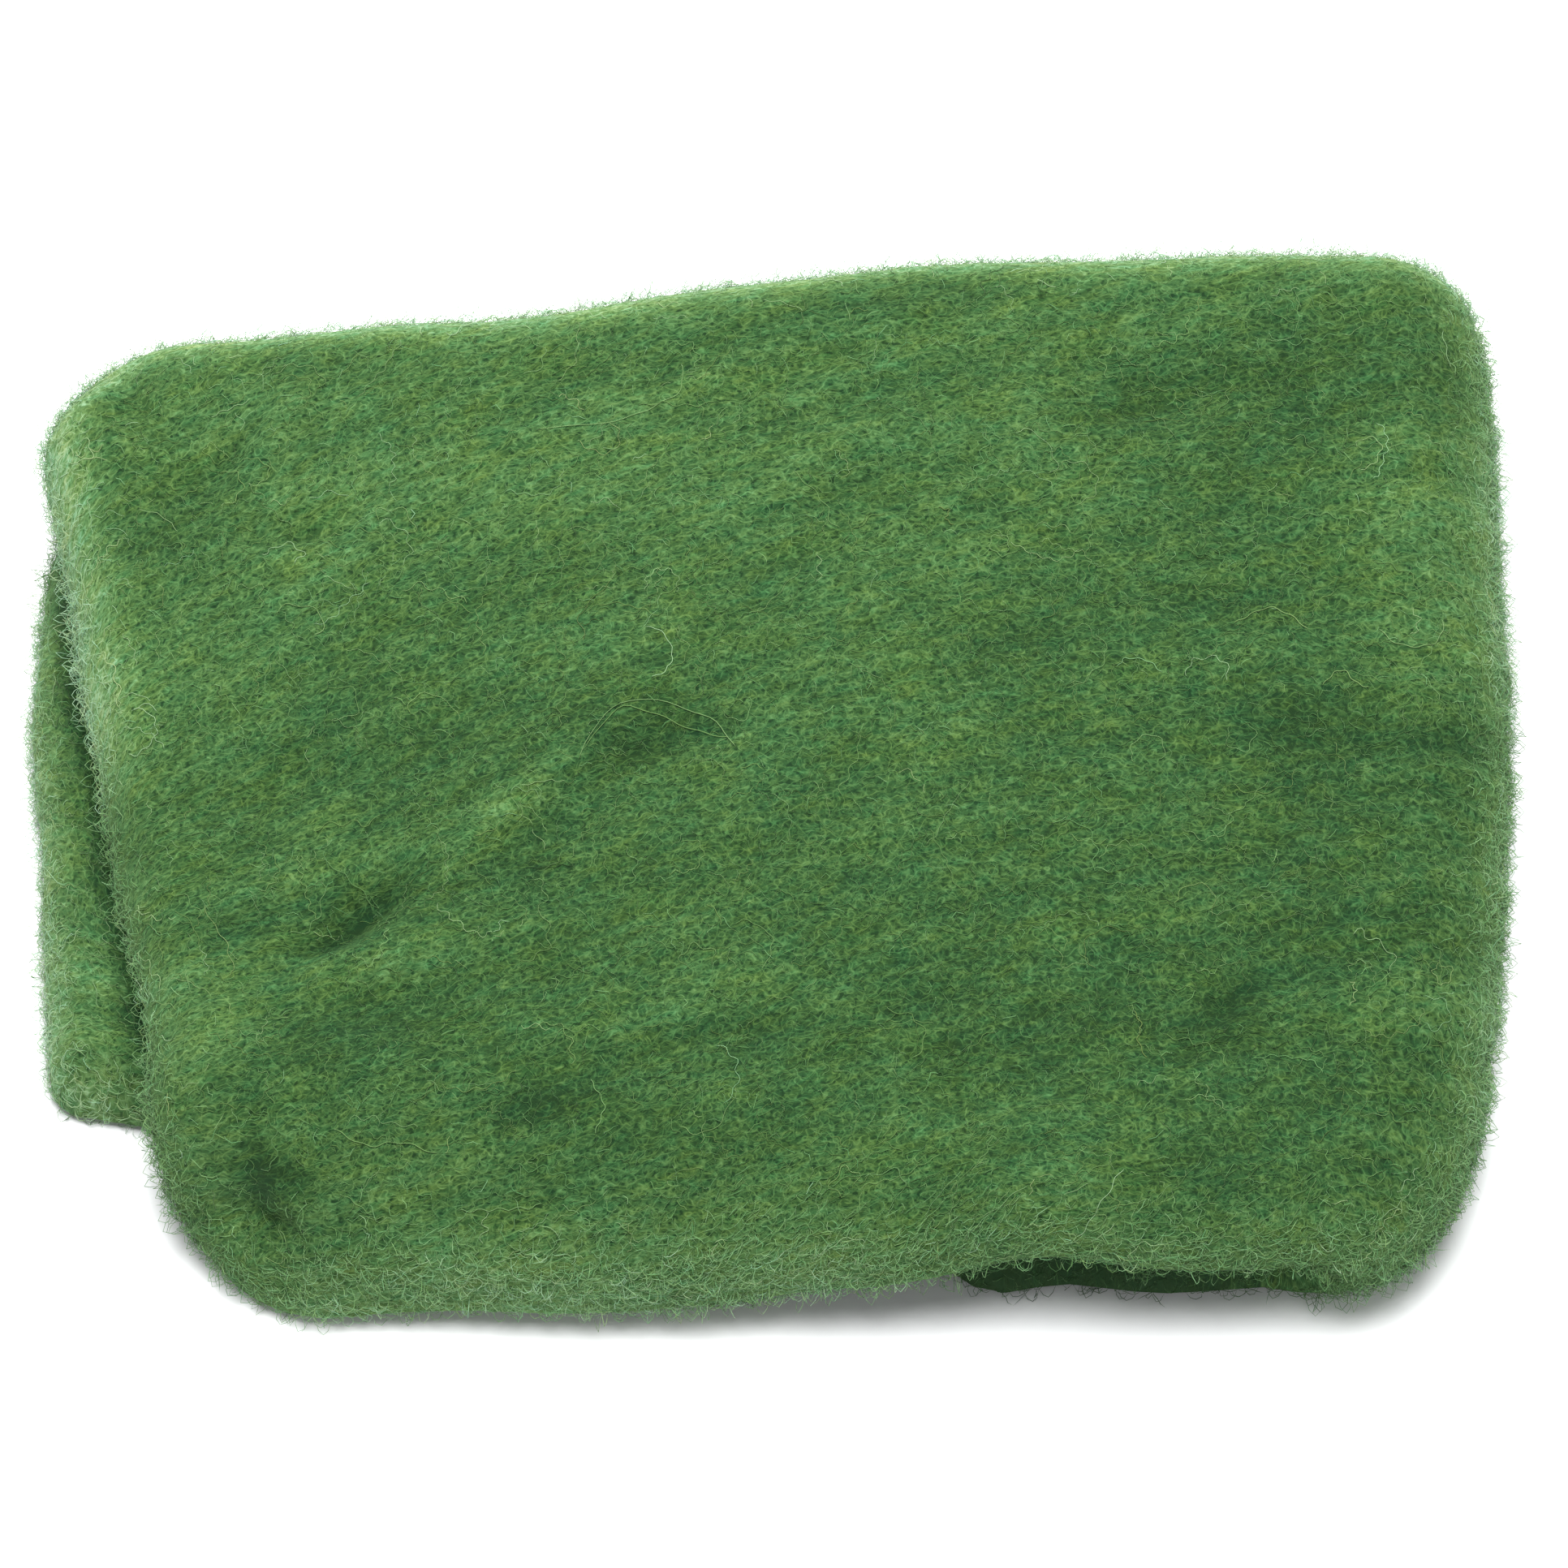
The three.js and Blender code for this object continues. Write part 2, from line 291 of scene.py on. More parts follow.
def layer_points(layer, share, v):
    """X, Y and distance from the nearest free edge, over a layer's middle surface."""
    t = (v + 1) / 2
    end = table_value(layer["end"], t) + END_FUZZ
    from_end = share * (fold_x(v) - FOLD_RADIUS - end)
    front = table_value(layer["front"], share) + table_value(layer["front_fuzz"], share)
    back = table_value(layer["back"], share) - BACK_FUZZ
    from_side = (back - front) * (1 - np.abs(v)) / 2
    x = end + from_end
    y = mix(front + waver(x), back + waver(x + BACK_WAVER_SHIFT), t)
    radius = np.where(v < 0, layer["front_corner"], layer["back_corner"])
    to_x, to_y = np.maximum(radius - from_end, 0), np.maximum(radius - from_side, 0)
    # In a corner the square steps are drawn in to circles round the corner's centre.
    drawn = 1 - np.maximum(to_x, to_y) / np.maximum(np.hypot(to_x, to_y), 1e-9)
    drawn = np.where(to_x * to_y > 0, drawn, 0)
    return x + to_x * drawn, y - np.sign(v) * to_y * drawn, np.minimum(from_end, from_side)


# Each of the middle surface's three parts gives X, Y, Z, distance from the free edges, relief and settle.
def lower_part(v):
    x, y, edge = layer_points(LOWER, spacing(STEPS["lower"], LENGTH, False)[:, None], v)
    return x, y, np.full_like(x, LOWER_LEVEL), edge, np.zeros_like(x), np.full_like(x, FLOOR_SETTLE)


def fold_part(v):
    turned = (np.arange(1, STEPS["fold"]) / STEPS["fold"])[:, None]
    low_x, low_y, low_edge = layer_points(LOWER, np.ones((1, 1)), v)
    _, high_y, high_edge = layer_points(UPPER, np.ones((1, 1)), v)
    x = low_x + FOLD_RADIUS * np.sin(np.pi * turned)
    z = LOWER_LEVEL + FOLD_RADIUS * (1 - np.cos(np.pi * turned)) + 0 * x
    settle = mix(FLOOR_SETTLE, RIM_SETTLE, turned) + 0 * x
    return x, mix(low_y, high_y, turned), z, mix(low_edge, high_edge, turned), np.zeros_like(x), settle


def upper_part(v):
    x, y, edge = layer_points(UPPER, spacing(STEPS["upper"], LENGTH, False)[::-1][:, None], v)
    droop = table_value(DROOP, x) * smooth((table_value(SUPPORT, x) - y) / DROOP_ENDS)
    z = UPPER_LEVEL - droop + bell(ARCH, x, y)
    relief = sum(bell(form, x, y) for form in FORMS + CREASES)
    settle = mix(RIM_SETTLE, FLOOR_SETTLE, droop / LAYER_THICKNESS)
    return x, y, z, edge, relief, settle


def slab_surfaces():
    """The slab's outer and inner faces and the distance from its free edges, in millimetres."""
    v = (2 * spacing(STEPS["across"], WIDTH, True) - 1)[None]
    parts = lower_part(v), fold_part(v), upper_part(v)
    x, y, z, edge, relief, settle = (np.concatenate(column) for column in zip(*parts))
    points = np.stack([x, y, z], -1)
    left = 1 - np.clip(edge / RIM_WIDTH, 0, 1)
    share = np.sqrt(1 - left * left)
    half = HALF * share
    along, over = np.gradient(points, axis=0), np.gradient(points, axis=1)
    normal = unit(np.cross(over, along))
    points[..., 2] -= settle * (HALF - half)
    outer = points + normal * (half + share * relief)[..., None]
    inner = points - normal * half[..., None]
    outer[..., 2] = np.maximum(outer[..., 2], 0)
    return outer, inner, edge


def lie_turn(x, y):
    """The fibres' turn at a place of the upper face, in radians."""
    weights = [np.exp(-((x - px) ** 2 + (y - py) ** 2) / reach**2) + 1e-6 for px, py, reach, _ in LIE]
    turns = [weight * math.radians(row[3]) for weight, row in zip(weights, LIE)]
    return sum(turns) / sum(weights)


class Face:
    """One face of the slab: a grid of points from the lower layer's end round the fold to the upper one's."""

    def __init__(self, points, outward):
        self.points = points
        self.step_i, self.step_j = np.gradient(points, axis=0), np.gradient(points, axis=1)
        self.size_i = np.linalg.norm(self.step_i, axis=-1)
        self.size_j = np.linalg.norm(self.step_j, axis=-1)
        self.normal = outward * unit(np.cross(self.step_j, self.step_i))
        self.turn = lie_turn(points[..., 0], points[..., 1])


# The slab's faces, with the middle of the batt at the origin.
outer, inner, from_edge = slab_surfaces()
centre = np.array([outer[..., axis].max() + outer[..., axis].min() for axis in (0, 1)] + [0]) / 2
outer -= centre
inner -= centre
ROWS, COLUMNS = outer.shape[:2]
row_numbers, column_numbers = np.mgrid[0:ROWS, 0:COLUMNS]
across_share = column_numbers / COLUMNS
upper_side, under_side = Face(outer, 1), Face(inner, -1)


def rises(table, points):
    """The sum of a table's soft forms at some points."""
    return sum(bell(row, points[..., 0] + centre[0], points[..., 1] + centre[1]) for row in table)


def gather(down, right):
    """At each point, the sum of the differences that lead to it less those that lead away."""
    total = np.zeros((ROWS, COLUMNS))
    total[1:] += down
    total[:-1] -= down
    total[:, 1:] += right
    total[:, :-1] -= right
    return total


def nearest_heights(want_down, want_right, rounds=700):
    """The heights whose differences come nearest the wanted ones, by conjugate gradients."""
    height = np.zeros((ROWS, COLUMNS))
    residual = gather(want_down, want_right)
    search, power = residual.copy(), (residual**2).sum()
    for _ in range(rounds):
        spread = gather(np.diff(search, axis=0), np.diff(search, axis=1))
        step = power / max((search * spread).sum(), 1e-12)
        height += step * search
        residual -= step * spread
        previous, power = power, (residual**2).sum()
        if power < 1e-6:
            break
        search = residual + power / previous * search
    return height


def flow_coordinates():
    """Two coordinates in millimetres for each outer point: along the lie of the fibres, and across it."""
    along_x, along_y = -unit(upper_side.step_i), unit(upper_side.step_j)
    cosine, sine = np.cos(upper_side.turn)[..., None], np.sin(upper_side.turn)[..., None]
    down, right = np.diff(outer, axis=0), np.diff(outer, axis=1)
    found = []
    for direction in (cosine * along_x + sine * along_y, cosine * along_y - sine * along_x):
        want_down = ((direction[1:] + direction[:-1]) / 2 * down).sum(-1)
        want_right = ((direction[:, 1:] + direction[:, :-1]) / 2 * right).sum(-1)
        found.append(nearest_heights(want_down, want_right))
    return np.stack(found, -1)


def blurred(field, reach):
    """A field blurred over a number of steps, with the field mirrored at its sides."""
    steps = np.arange(-3 * reach, 3 * reach + 1)
    kernel = np.exp(-((steps / reach) ** 2) / 2)
    kernel /= kernel.sum()
    for axis in (0, 1):
        margin = [(3 * reach, 3 * reach) if a == axis else (0, 0) for a in (0, 1)]
        padded = np.pad(field, margin, "reflect")
        field = np.apply_along_axis(lambda line: np.convolve(line, kernel, "valid"), axis, padded)
    return field


def on_grid(array, i, j):
    """An array over the outer face, read between its points."""
    i, j = np.clip(i, 0, ROWS - 1.001), np.clip(j, 0, COLUMNS - 1.001)
    row, column = i.astype(int), j.astype(int)
    down, right = i - row, j - column
    if array.ndim == 3:
        down, right = down[..., None], right[..., None]
    top = array[row, column] * (1 - right) + array[row, column + 1] * right
    bottom = array[row + 1, column] * (1 - right) + array[row + 1, column + 1] * right
    return top * (1 - down) + bottom * down


def bounce(values, last):
    """Places past either end of a range, turned back into it."""
    return last - np.abs(last - np.abs(values))


def walk(face, i, j, turn, step):
    """Grid places a step further on over a face, in the direction of a turn."""
    i = bounce(i - np.cos(turn) * step / on_grid(face.size_i, i, j), ROWS - 1.0)
    return i, bounce(j + np.sin(turn) * step / on_grid(face.size_j, i, j), COLUMNS - 1.0)


def drawn_noise(steps, step, reach):
    """Noise over the outer face, drawn out along the lie of the fibres, about -1 to 1."""
    noise = blurred(RNG.normal(size=(ROWS, COLUMNS)), reach)
    total = np.zeros((ROWS, COLUMNS))
    for side in (-1, 1):
        i, j = row_numbers.astype(float), column_numbers.astype(float)
        for _ in range(steps):
            i, j = walk(upper_side, i, j, on_grid(upper_side.turn, i, j), side * step)
            total += on_grid(noise, i, j)
    return total / total.std()


# Locks of wool a few millimetres wide raise the faces a little, and wider drifts change how dense they look.
LOCKS = drawn_noise(8, 1.3, 1)
DRIFTS = drawn_noise(10, 3.0, 4)
LOCK_RISE = 0.28

# Over this height in millimetres, what lies on the floor gives way to what is clear of it.
LOCKS_CLEAR = 3
FIBRES_CLEAR = 4

# How far the lower layer's upper face lies out past the upper layer's end, and the strip that shows there,
# with a little of what lies just under that end.
STRIP_MARGIN = 2
past_end = np.interp(inner[..., 1], outer[-1, :, 1], outer[-1, :, 0]) - inner[..., 0]
strip = (row_numbers < FOLD_ROW) & (past_end > -STRIP_MARGIN)

rows_in = np.minimum(row_numbers, ROWS - 1 - row_numbers)
columns_in = np.minimum(column_numbers, COLUMNS - 1 - column_numbers)
raised = LOCK_RISE * LOCKS * smooth(np.minimum(rows_in, columns_in) / STEPS["rim"])
outer += upper_side.normal * (raised * smooth(outer[..., 2] / LOCKS_CLEAR))[..., None]
outer[..., 2] = np.maximum(outer[..., 2], 0)
inner += under_side.normal * (raised * strip)[..., None]

# How light the wool looks, with 0 for plain wool: mostly painted light and shade, with some tone that differs
# at random. The limits, the inner face's own limit and its painted shade where nothing shows, and the shares
# that the patches and the creases' painted shade have in it.
DARKEST = -1.7
PALEST = 1.7
PALEST_INSIDE = 1.4
INSIDE_PAINTED_SHADE = -0.8
PATCH_SHARE = 0.5
CREASE_SHARE = 0.22
drift_shade = 0.12 * DRIFTS + 0.1 * LOCKS

# Painted light on the fuzz at the sides, where the light catches it: how much anywhere, and how much more at
# the ends and at the back.
SIDE_SHADES = {"all": 0.5, "ends": 0.5, "back": 0.7}
# The share of that painted light that is lost where the upper layer's end looks down over the strip.
OVER_STRIP_LOSS = 0.8

# The band of painted light along the free edges, where the light behind shines through the fuzz: its width,
# its lightness, and the shares of that at the front and below.
LIT_EDGE_BAND = {"width": 15, "light": 1.6, "front": 0.15, "lower": 0.45}

# The strip: its painted lightness in the painted shadow beside the upper layer's end and out of it, that
# shadow's width, and the width of the outer edge, painted lighter where the light catches its fuzz.
STRIP_SHADES = (-1.0, 0.3)
STRIP_SHADOW = 6
STRIP_LIT_EDGE = 8

# The gap under the arch is painted with its shadow: dark up to an X, and lighter past a fade, near the fold.
# It shows this far in.
GAP_SHADES = (-1.5, 0.4)
GAP_END = 75
GAP_FADE = 28
GAP_DEPTH = 20

# How far a place lies under the upper layer near the front, on each side of the slab, 0 to 1: where the gap's
# painted shadow falls.
near_front = rising(inner[..., 1], 0, -GAP_DEPTH)
under_fold = rising(row_numbers, FOLD_ROW + 1, -14) * rising(past_end, -2, -20) * near_front
in_the_gap = rising(inner[..., 0], -2, 14) * near_front
gap_shade = mix(*GAP_SHADES, rising(inner[..., 0], GAP_END, GAP_FADE))


def painted_side_light():
    """Painted light where loose fuzz catches the light at the sides: most at the ends and the back, and least
    over the strip.
    """
    normal = upper_side.normal
    edge_on = smooth((1 - np.abs(normal[..., 2])) / 0.6)
    ends = SIDE_SHADES["ends"] * np.abs(normal[..., 0])
    back = SIDE_SHADES["back"] * np.maximum(normal[..., 1], 0)
    over_strip = smooth(-normal[..., 0] / 0.4) * (row_numbers > FOLD_ROW) * rising(across_share, 0.85, -0.15)
    return edge_on * (SIDE_SHADES["all"] + ends + back) * (1 - OVER_STRIP_LOSS * over_strip)


def outer_shade(sides):
    """The painted light and shade of the outer face: the patches, the creases' painted shade, the painted
    light at the sides and the free edges, the random drifts, and the gap's painted shadow.
    """
    shade = PATCH_SHARE * rises(SHADE_AND_DENSITY_PATCHES, outer) + CREASE_SHARE * rises(CREASES, outer)
    shade = np.where(upper_side.normal[..., 2] > -0.4, shade, 0)
    band = LIT_EDGE_BAND["light"] * rising(from_edge, LIT_EDGE_BAND["width"], -LIT_EDGE_BAND["width"])
    band *= mix(LIT_EDGE_BAND["front"], 1, rising(across_share, 0.4, 0.2))
    band *= mix(LIT_EDGE_BAND["lower"], 1, rising(row_numbers, FOLD_ROW - 12, 24))
    return np.clip(mix(shade + sides + band + drift_shade, gap_shade, under_fold), DARKEST, PALEST)


def inner_shade(sides):
    """The painted light and shade of the inner face: the strip with its painted shadow and lit edge, the rim
    with its painted light and the gap's painted shadow, and painted shade inside, where nothing shows.
    """
    strip_shade = mix(*STRIP_SHADES, rising(past_end, 0.5, STRIP_SHADOW))
    strip_shade += rising(from_edge, STRIP_LIT_EDGE, -STRIP_LIT_EDGE)
    shade = np.where(strip, strip_shade, INSIDE_PAINTED_SHADE)
    rim_shade = mix(np.maximum(sides, shade), gap_shade, in_the_gap)
    shade = np.where(from_edge < RIM_WIDTH / 2, rim_shade, shade)
    return np.clip(shade + drift_shade, DARKEST, PALEST_INSIDE)


# Each face's painted light and shade, kept in its shade value.
side_light_paint = painted_side_light()
upper_side.shade = outer_shade(side_light_paint)
under_side.shade = inner_shade(side_light_paint)


def build_mesh(name, points, faces, corners, uv_maps, values):
    """A mesh object from arrays: points in millimetres, the faces' corners in a row, and how many each has.

    The maps give a place for each corner, and the values a number for each point."""
    mesh = bpy.data.meshes.new(name)
    mesh.vertices.add(len(points))
    mesh.vertices.foreach_set("co", np.ascontiguousarray(points * MM, np.float32).ravel())
    mesh.loops.add(len(faces))
    mesh.loops.foreach_set("vertex_index", faces.astype(np.int32))
    mesh.polygons.add(len(faces) // corners)
    mesh.polygons.foreach_set("loop_start", np.arange(0, len(faces), corners, dtype=np.int32))
    mesh.polygons.foreach_set("use_smooth", np.full(len(faces) // corners, True))
    mesh.update(calc_edges=True)
    for map_name, places in uv_maps:
        layer = mesh.uv_layers.new(name=map_name)
        layer.data.foreach_set("uv", np.ascontiguousarray(places, np.float32).ravel())
    for value_name, numbers in values:
        attribute = mesh.attributes.new(value_name, "FLOAT", "POINT")
        attribute.data.foreach_set("value", np.ascontiguousarray(numbers, np.float32))
    mesh.validate()
    piece = bpy.data.objects.new(name, mesh)
    bpy.context.scene.collection.objects.link(piece)
    return piece


def grid_corners(ids):
    """The four corners of each face of a grid."""
    return np.stack([ids[:-1, :-1], ids[:-1, 1:], ids[1:, 1:], ids[1:, :-1]], -1).reshape(-1, 4)


# The slab's charts in its picture: left, bottom, width and height of the upper and the lower layer's, for the
# outer face and then for the inner one, with a margin round each.
OUTER_CHARTS = [(0, 0.3, 1, 0.7), (0, 0, 0.5, 0.3)]
INNER_CHARTS = [(0.5, 0, 0.25, 0.3), (0.75, 0, 0.25, 0.3)]
CHART_MARGIN = 0.006

# The flow map holds millimetres divided by this.
FLOW_UNIT = 100.0


def chart_places(chart, s, t):
    """Places in one chart, from shares along and across it."""
    left, bottom, width, height = chart
    across = left + CHART_MARGIN + s * (width - 2 * CHART_MARGIN)
    return np.stack([across, bottom + CHART_MARGIN + t * (height - 2 * CHART_MARGIN)], -1)


def bake_places(face_ids):
    """Places in a picture for each face's corners, in a chart for each side of each layer."""
    along = np.concatenate([[0], np.cumsum(upper_side.size_i[1:, COLUMNS // 2])])
    across = np.concatenate([[0], np.cumsum(upper_side.size_j[ROWS // 2, 1:])])
    upper = (face_ids[:, :1] // COLUMNS) >= FOLD_ROW
    start, end = np.where(upper, along[FOLD_ROW], 0), np.where(upper, along[-1], along[FOLD_ROW])
    s = (along[face_ids // COLUMNS] - start) / (end - start)
    t = across[face_ids % COLUMNS] / across[-1]
    outer_places, inner_places = (
        np.where(upper[..., None], chart_places(upper_chart, s, t), chart_places(lower_chart, s, t))
        for upper_chart, lower_chart in (OUTER_CHARTS, INNER_CHARTS)
    )
    return np.concatenate([outer_places, inner_places[:, ::-1]])


def build_slab():
    """The slab as one closed mesh whose outer and inner faces share the points of the rim."""
    outer_ids = np.arange(ROWS * COLUMNS).reshape(ROWS, COLUMNS)
    inner_ids = outer_ids.copy()
    inside = (ROWS - 2) * (COLUMNS - 2)
    inner_ids[1:-1, 1:-1] = ROWS * COLUMNS + np.arange(inside).reshape(ROWS - 2, COLUMNS - 2)
    points = np.concatenate([outer.reshape(-1, 3), inner[1:-1, 1:-1].reshape(-1, 3)])
    outer_faces = grid_corners(outer_ids)
    faces = np.concatenate([outer_faces, grid_corners(inner_ids)[:, ::-1]])
    flow = (flow_coordinates() / FLOW_UNIT).reshape(-1, 2)[outer_faces]
    uv_maps = [("Flow", np.concatenate([flow, flow[:, ::-1]])), ("OFBake", bake_places(outer_faces))]
    values = [("shade", np.concatenate([upper_side.shade.ravel(), under_side.shade[1:-1, 1:-1].ravel()]))]
    return build_mesh("wool_batt", points, faces.ravel(), 4, uv_maps, values)


# The least and most of its kind's crimp and wave that a fibre has, how far a crossing one turns in radians,
# and how high the lowest fibres lie.
CRIMP_SHARES = (0.4, 1.3)
WAVE_SHARES = (0.7, 1.4)
CROSSING_TURN = 1.2
FLOOR_CLEARANCE = 0.1

# Fuzz: the gamma spread of its rise in millimetres, the most, and the share that are loops.
FUZZ_RISE = (2.2, 0.6)
FUZZ_MOST = 4.5
FUZZ_LOOPS = 0.82

# The headings are wilder towards the fold: the share added, X where that starts, and how far it grows.
TANGLE = 0.9
TANGLE_START = 60
TANGLE_GROWS = 50

# How much a fibre's tone varies and how it follows the face's painted light and shade, and the beta spread of
# the hues.
TONE_SPREAD = 0.15
TONE_BY_SHADE = 0.4
HUE_SPREAD = (2.2, 2.6)


def matted_height(share, count):
    """Fibres that dip in and out of the face."""
    base = RNG.uniform(-0.1, 0.25, count)[:, None]
    dip = RNG.uniform(0.1, 0.3, count)[:, None]
    phase = RNG.random(count)[:, None] * 2 * np.pi
    waves = RNG.uniform(0.6, 1.6, count)[:, None]
    ends = 1 - smooth(np.abs(share[None] * 2 - 1) * 4 - 3)
    return (base + dip * np.sin(2 * np.pi * waves * share[None] + phase)) * ends - 0.15 * (1 - ends)


def hair_height(share, count):
    """Long hairs that lie loose on the face and lift off it here and there."""
    lift = RNG.uniform(0.1, 0.7, count)[:, None]
    phase = RNG.random(count)[:, None] * 2 * np.pi
    waves = RNG.uniform(0.8, 2.2, count)[:, None]
    return 0.1 + lift * (0.5 + 0.5 * np.sin(2 * np.pi * waves * share[None] + phase))


def fuzz_height(share, count):
    """Fibres that stand off the face, most as loops and some with a free end."""
    rise = np.minimum(RNG.gamma(*FUZZ_RISE, count), FUZZ_MOST)[:, None]
    loop = np.sin(np.pi * share)[None] ** 0.8
    free = share[None] ** 1.2
    return rise * np.where(RNG.random(count)[:, None] < FUZZ_LOOPS, loop, free) - 0.15


# The kinds of fibre: steps and their length in millimetres, spread of the headings and how they bend in
# radians, the share that crosses the rest, turn and length of the crimp, widths, and height over the face.
MATTED = {
    "steps": 12, "step": 0.8, "stray": 0.4, "bend": 0.1, "cross": 0.5, "crimp": 0.85, "wave": 3.4,
    "widths": (0.08, 0.14), "height": matted_height,
}
HAIR = {
    "steps": 22, "step": 0.75, "stray": 0.6, "bend": 0.16, "cross": 0.6, "crimp": 0.8, "wave": 4.0,
    "widths": (0.11, 0.16), "height": hair_height,
}
FUZZ = {
    "steps": 4, "step": 1.0, "stray": 0.8, "bend": 0.3, "cross": 0.7, "crimp": 0.5, "wave": 3.4,
    "widths": (0.09, 0.14), "height": fuzz_height,
}


def start_places(face, count, cover):
    """Random places over a face, as many for each square millimetre as the cover asks."""
    area = (face.size_i * face.size_j * cover)[:-1, :-1].ravel()
    cells = RNG.choice(len(area), size=count, p=area / area.sum())
    return cells // (COLUMNS - 1) + RNG.random(count), cells % (COLUMNS - 1) + RNG.random(count)


def fibre_paths(face, count, kind, cover):
    """Paths over a face, in millimetres, and the face's painted light and shade where each one starts."""
    i, j = start_places(face, count, cover)
    shade = on_grid(face.shade, i, j)
    steps, step = kind["steps"], kind["step"]
    tangle = 1 + TANGLE * rising(on_grid(face.points, i, j)[..., 0], TANGLE_START, TANGLE_GROWS)
    stray = RNG.normal(size=count) * kind["stray"] * tangle
    stray += np.where(RNG.random(count) < kind["cross"], RNG.uniform(-CROSSING_TURN, CROSSING_TURN, count), 0)
    bend = RNG.normal(size=count) * kind["bend"]
    phase = RNG.random(count) * 2 * np.pi
    wave = kind["wave"] * RNG.uniform(*WAVE_SHARES, count)
    crimp = kind["crimp"] * RNG.uniform(*CRIMP_SHARES, count)
    heights = kind["height"](np.arange(steps + 1) / steps, count)
    paths = []
    for k in range(steps + 1):
        paths.append(on_grid(face.points, i, j) + unit(on_grid(face.normal, i, j)) * heights[:, k, None])
        stray = stray + bend * step + RNG.normal(size=count) * kind["bend"]
        turn = on_grid(face.turn, i, j) + stray + crimp * np.cos(2 * np.pi * k * step / wave + phase)
        i, j = walk(face, i, j, turn, step)
    paths = np.stack(paths, 1)
    paths[..., 2] = np.maximum(paths[..., 2], FLOOR_CLEARANCE)
    return paths, shade


def fibre_faces(steps):
    """One pointed three-sided fibre's faces, and their places along and round it as shares."""
    faces, places = [], []
    last = 1 + 3 * (steps - 1)
    for m in range(3):
        n = (m + 1) % 3
        faces.append((0, 1 + n, 1 + m))
        places.append(((0, m + 0.5), (1, m + 1), (1, m)))
        for k in range(steps - 2):
            a, b, c, d = 1 + 3 * k + m, 1 + 3 * k + n, 4 + 3 * k + n, 4 + 3 * k + m
            faces += [(a, b, c), (a, c, d)]
            places += [((k + 1, m), (k + 1, m + 1), (k + 2, m + 1)), ((k + 1, m), (k + 2, m + 1), (k + 2, m))]
        faces.append((last, last - 3 + m, last - 3 + n))
        places.append(((steps, m + 0.5), (steps - 1, m), (steps - 1, m + 1)))
    return np.array(faces), np.array(places, float) / (steps, 3)


# A direction that no fibre follows for long, to set the first of its three sides by.
ASIDE = np.array([0.31, -0.22, 0.93])

# The margin round each fibre's cell in the picture, as a share of the cell.
CELL_MARGIN = 0.08


def build_fibres(name, paths, width, tone, hue):
    """Pointed three-sided fibres along the paths, joined into one mesh."""
    count, points, _ = paths.shape
    tangent = unit(np.gradient(paths, axis=1))
    side = unit(np.cross(tangent, ASIDE))
    other = np.cross(tangent, side)
    angles = 2 * np.pi * np.arange(3) / 3
    ring = side[:, 1:-1, None] * np.cos(angles)[:, None] + other[:, 1:-1, None] * np.sin(angles)[:, None]
    rings = paths[:, 1:-1, None] + ring * (width / 2)[:, None, None, None]
    vertices = np.concatenate([paths[:, :1], rings.reshape(count, -1, 3), paths[:, -1:]], 1)
    each = vertices.shape[1]
    faces, places = fibre_faces(points - 1)
    all_faces = faces[None] + (np.arange(count) * each)[:, None, None]

    # Each fibre has a cell of its own in the picture.
    cells = math.ceil(math.sqrt(count))
    cell = np.stack([np.arange(count) % cells, np.arange(count) // cells], -1)[:, None, None]
    uv = (cell + CELL_MARGIN + (1 - 2 * CELL_MARGIN) * places[None]) / cells
    values = [("tone", np.repeat(tone, each)), ("hue", np.repeat(hue, each))]
    return build_mesh(name, vertices.reshape(-1, 3), all_faces.ravel(), 3, [("OFBake", uv)], values)


# How the fibres cover a face, as shares: on the floor, where it looks down and where it lies flat. Then what
# is lost under the upper layer, in the gap and in creases this deep, and what is gained where it is edge on.
MATTED_COVER = {"floor": 0.1, "down": 0.1, "under_loss": 0.5}
FUZZ_COVER = {
    "floor": 0.15,
    "flat": 0.06,
    "under_loss": 0.3,
    "gap_loss": 0.4,
    "crease_loss": 0.9,
    "crease_depth": 2.5,
    "edge_on_gain": 2.2,
    "edge_on_reach": 0.3,
}

# The inner face has fuzz this far in from its free edges, and none this many rows either side of the fold.
FUZZY_RIM = 0.6 * RIM_WIDTH
FOLD_ROWS_BARE = 6


def off_floor(face, least):
    """1 where a face is clear of the floor, down to the least where it lies on it."""
    return mix(least, 1, smooth(face.points[..., 2] / FIBRES_CLEAR))


def matted_cover(face):
    """How much matted fibre a place gets. What lies on the floor gets little."""
    hidden = 1 - MATTED_COVER["under_loss"] * under_fold if face is upper_side else 1.0
    down = np.where(face.normal[..., 2] < -0.5, MATTED_COVER["down"], 1.0)
    return down * hidden * off_floor(face, MATTED_COVER["floor"])


def fuzz_cover(face):
    """How much fuzz a place gets: most at the sides that the camera sees edge on, and little in creases."""
    side = mix(FUZZ_COVER["flat"], 1, 1 - rising(np.abs(face.normal[..., 2]), 0.25, 0.6))
    edge_on = np.exp(-(((face.normal @ VIEW) / FUZZ_COVER["edge_on_reach"]) ** 2))
    hidden = 1 - FUZZ_COVER["under_loss"] * under_fold if face is upper_side else 1.0
    creased = smooth(-rises(CREASES + FORMS, face.points) / FUZZ_COVER["crease_depth"])
    hidden *= 1 - FUZZ_COVER["crease_loss"] * creased
    return side * (1 + FUZZ_COVER["edge_on_gain"] * edge_on) * hidden * off_floor(face, FUZZ_COVER["floor"])


